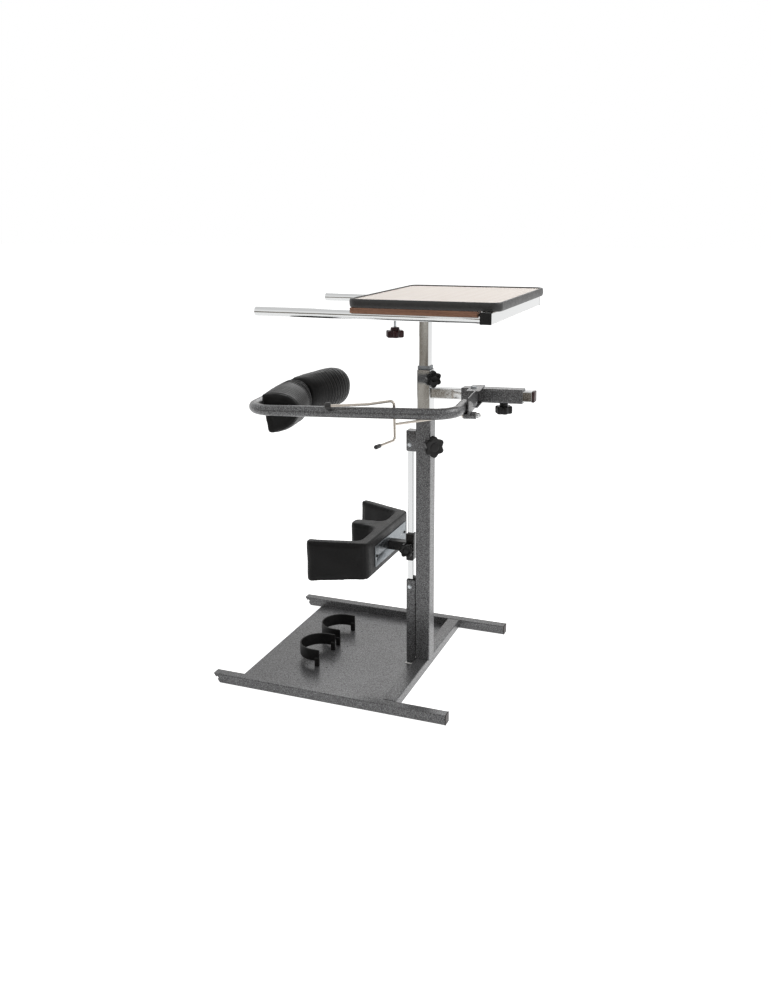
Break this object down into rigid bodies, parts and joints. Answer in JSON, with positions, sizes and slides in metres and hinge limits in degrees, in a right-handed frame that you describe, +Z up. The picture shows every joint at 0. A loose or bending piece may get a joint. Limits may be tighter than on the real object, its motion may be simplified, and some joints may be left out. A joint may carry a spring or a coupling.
{
  "type": "standing frame",
  "caption": "Standing frame: floor frame with heel cups, telescopic column, sliding knee support, swinging hip hoop with pads and release lever, and a sliding work table.",
  "frame": {"origin": "on the column's axis at floor level, on the crossbar's underside", "axes": "+Z up, the user stands on the -X side and faces +X, the side arm points to +X, and the hip hoop is hinged on the -Y side"},
  "size_m": [0.8837, 0.6972, 1.15],
  "materials": {
    "hammered_paint": "hammered grey enamel with a fine dimpled texture",
    "chrome": "bright chrome plate",
    "zinc_plate": "zinc plated",
    "black_plastic": "moulded, satin",
    "brown_plastic": "moulded, satin, dark brown",
    "black_paint": "satin black paint",
    "maroon_plastic": "moulded, half gloss, maroon black",
    "pale_plastic": "moulded, pale grey",
    "black_vinyl": "fine-grained coated cover over foam",
    "black_rubber": "soft, satin",
    "beige_laminate": "smooth pinkish beige laminate on particle board",
    "brown_wood": "varnished reddish brown wood",
    "knee_plate_steel": "bright rolled steel"
  },
  "bodies": {
    "stand": {"rail_near": "hammered_paint", "rail_far": "hammered_paint", "rail_cap_near": "brown_plastic", "rail_cap_far": "brown_plastic", "base_plate": "hammered_paint", "crossbar": "hammered_paint", "column": "hammered_paint", "knee_post": "hammered_paint", "knee_post_plug": "black_plastic", "knee_rail": "chrome", "knee_rail_bracket": "hammered_paint", "knee_rail_bolt_top": "zinc_plate", "knee_rail_bolt_low": "zinc_plate", "heel_cup_near": "black_plastic", "heel_cup_far": "black_plastic", "heel_cup_screw_1": "zinc_plate", "heel_cup_screw_2": "zinc_plate", "heel_cup_screw_3": "zinc_plate", "heel_cup_screw_4": "zinc_plate"},
    "mast": {"mast_tube": "chrome", "mast_bush": "pale_plastic", "arm_tube": "chrome", "arm_end_plug": "brown_plastic"},
    "table_post": {"table_post_tube": "chrome", "table_carriage": "hammered_paint"},
    "table": {"table_board": "beige_laminate", "table_edging": "black_rubber", "table_batten_near": "brown_wood", "table_batten_far": "brown_wood", "side_tube_near": "chrome", "side_tube_far": "chrome", "cross_tube": "chrome", "cross_tube_cap_near": "black_plastic", "cross_tube_cap_far": "black_plastic", "slide_bar": "chrome", "slide_bar_hanger": "hammered_paint"},
    "sleeve": {"arm_sleeve": "hammered_paint"},
    "hoop": {"hinge_block": "hammered_paint", "hinge_bolt": "zinc_plate", "hoop_tube": "hammered_paint", "hoop_end_plug": "black_plastic", "hip_pad_near": "black_vinyl", "hip_pad_far": "black_vinyl", "lever_bearing": "hammered_paint"},
    "lever": {"release_lever": "chrome", "lever_tip_upper": "black_rubber", "lever_tip_lower": "black_rubber", "lever_nut": "chrome"},
    "knee_support": {"knee_clamp": "black_paint", "knee_arm": "black_paint", "knee_plate": "knee_plate_steel", "knee_pad": "black_vinyl", "knee_plate_screw_near": "zinc_plate", "knee_plate_screw_far": "zinc_plate"},
    "column_knob": {"column_knob": "black_plastic"},
    "mast_knob": {"mast_knob": "black_plastic"},
    "sleeve_knob": {"sleeve_knob": "black_plastic"},
    "knee_knob": {"knee_knob": "black_plastic"},
    "table_knob": {"table_knob": "maroon_plastic"}
  },
  "joints": [
    {"name": "mast_slide", "type": "slide", "parent": "stand", "child": "mast", "axis": [0, 0, 1], "range_m": [-0.04, 0.2]},
    {"name": "table_post_slide", "type": "slide", "parent": "mast", "child": "table_post", "axis": [0, 0, 1], "range_m": [-0.115, 0.15]},
    {"name": "table_slide", "type": "slide", "parent": "table_post", "child": "table", "axis": [1, 0, 0], "range_m": [-0.17, 0]},
    {"name": "sleeve_slide", "type": "slide", "parent": "mast", "child": "sleeve", "axis": [0.9998, 0, 0.0218], "range_m": [-0.055, 0.02]},
    {"name": "hoop_hinge", "type": "hinge", "parent": "sleeve", "child": "hoop", "pos_m": [0.15396, -0.03, 0.87016], "axis": [-0.0218, 0, 0.9998], "range_deg": [-6.5, 60]},
    {"name": "lever_hinge", "type": "hinge", "parent": "hoop", "child": "lever", "pos_m": [0.16619, -0.13085, 0.83652], "axis": [-0.9933, -0.1132, -0.0217], "range_deg": [0, 18]},
    {"name": "knee_slide", "type": "slide", "parent": "stand", "child": "knee_support", "axis": [0, 0, 1], "range_m": [-0.055, 0.25]},
    {"name": "column_knob_turn", "type": "hinge", "parent": "stand", "child": "column_knob", "pos_m": [0.035, -0.035, 0.717], "axis": [0.7071, -0.7071, 0], "continuous": true},
    {"name": "mast_knob_turn", "type": "hinge", "parent": "mast", "child": "mast_knob", "pos_m": [0.03, -0.03, 0.912], "axis": [0.7071, -0.7071, 0], "continuous": true},
    {"name": "sleeve_knob_turn", "type": "hinge", "parent": "sleeve", "child": "sleeve_knob", "pos_m": [0.23321, 0, 0.83688], "axis": [0.0218, 0, -0.9998], "continuous": true},
    {"name": "knee_knob_turn", "type": "hinge", "parent": "knee_support", "child": "knee_knob", "pos_m": [-0.043, -0.04, 0.391], "axis": [0, -1, 0], "continuous": true},
    {"name": "table_knob_turn", "type": "hinge", "parent": "table_post", "child": "table_knob", "pos_m": [-0.0925, 0, 1.04], "axis": [0, 0, -1], "continuous": true}
  ]
}
